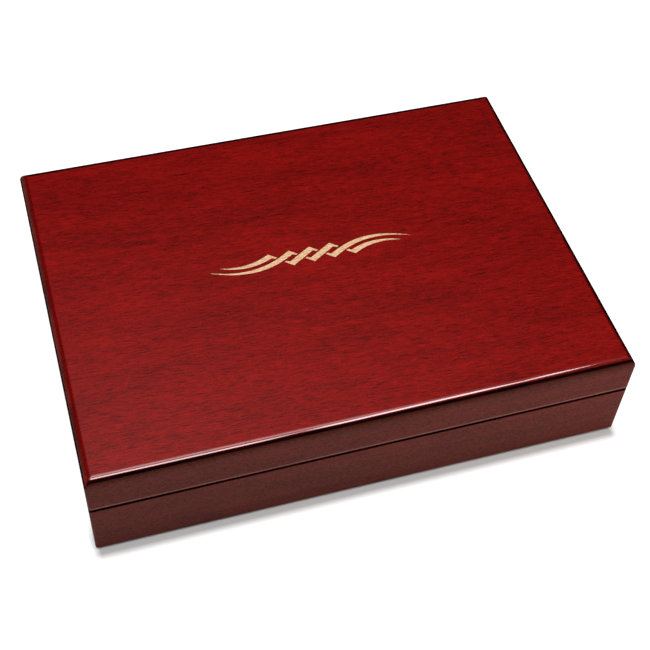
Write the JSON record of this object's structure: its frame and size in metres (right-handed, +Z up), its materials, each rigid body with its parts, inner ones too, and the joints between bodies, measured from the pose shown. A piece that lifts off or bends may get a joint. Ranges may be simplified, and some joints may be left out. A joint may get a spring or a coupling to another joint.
{
  "type": "humidor",
  "caption": "Low lacquered desktop humidor: cedar-lined box with a hinged lid, sealing lip, sliding divider, dial hygrometer and magnet-held humidifier.",
  "frame": {"origin": "centre of the underside, on the surface that the box stands on", "axes": "+X to the right along the width, +Y to the back where the hinges are, +Z up"},
  "size_m": [0.26, 0.194, 0.056],
  "materials": {
    "lacquer_top": "gloss lacquer over red veneer",
    "lacquer_side": "satin lacquer over red-brown veneer",
    "cedar": "bare planed cedar",
    "brass": "polished",
    "steel": "plain",
    "black_plastic": "moulded, matte",
    "felt": "pressed felt",
    "dial_face": "matte ivory enamel",
    "needle_paint": "satin",
    "lens": "clear",
    "foam": "open-cell foam"
  },
  "bodies": {
    "base": {"felt_pad": "felt", "base_floor_panel": "lacquer_side", "base_front_wall": "lacquer_side", "base_back_wall": "lacquer_side", "base_left_wall": "lacquer_side", "base_right_wall": "lacquer_side", "cedar_floor": "cedar", "base_front_liner": "cedar", "base_back_liner": "cedar", "base_left_liner": "cedar", "base_right_liner": "cedar", "left_hinge_base_leaf": "brass", "right_hinge_base_leaf": "brass", "hinge_pins": "brass"},
    "lid": {"lid_top_panel": "lacquer_top", "lid_front_wall": "lacquer_side", "lid_back_wall": "lacquer_side", "lid_left_wall": "lacquer_side", "lid_right_wall": "lacquer_side", "cedar_ceiling": "cedar", "lid_front_liner": "cedar", "lid_back_liner": "cedar", "lid_left_liner": "cedar", "lid_right_liner": "cedar", "left_hinge_lid_leaf": "brass", "right_hinge_lid_leaf": "brass", "hygrometer_case": "brass", "hygrometer_movement": "steel", "hygrometer_dial": "dial_face", "hygrometer_lens": "lens", "hygrometer_bezel": "brass", "humidifier_plates": "steel", "humidifier_magnets": "steel", "humidifier_case": "black_plastic", "humidifier_foam": "foam", "humidifier_grille": "black_plastic"},
    "divider": {"divider": "cedar"},
    "needle": {"hygrometer_needle": "needle_paint"}
  },
  "joints": [
    {"name": "lid_hinge", "type": "hinge", "parent": "base", "child": "lid", "pos_m": [0, 0.093, 0.03415], "axis": [-1, 0, 0], "range_deg": [0, 95]},
    {"name": "divider_slide", "type": "slide", "parent": "base", "child": "divider", "axis": [1, 0, 0], "range_m": [-0.146, 0.074]},
    {"name": "needle_turn", "type": "hinge", "parent": "lid", "child": "needle", "pos_m": [-0.062, 0, 0.04325], "axis": [0, 0, 1], "range_deg": [-183.6, 86.4], "stiffness_Nm_per_rad": 0.00001}
  ]
}
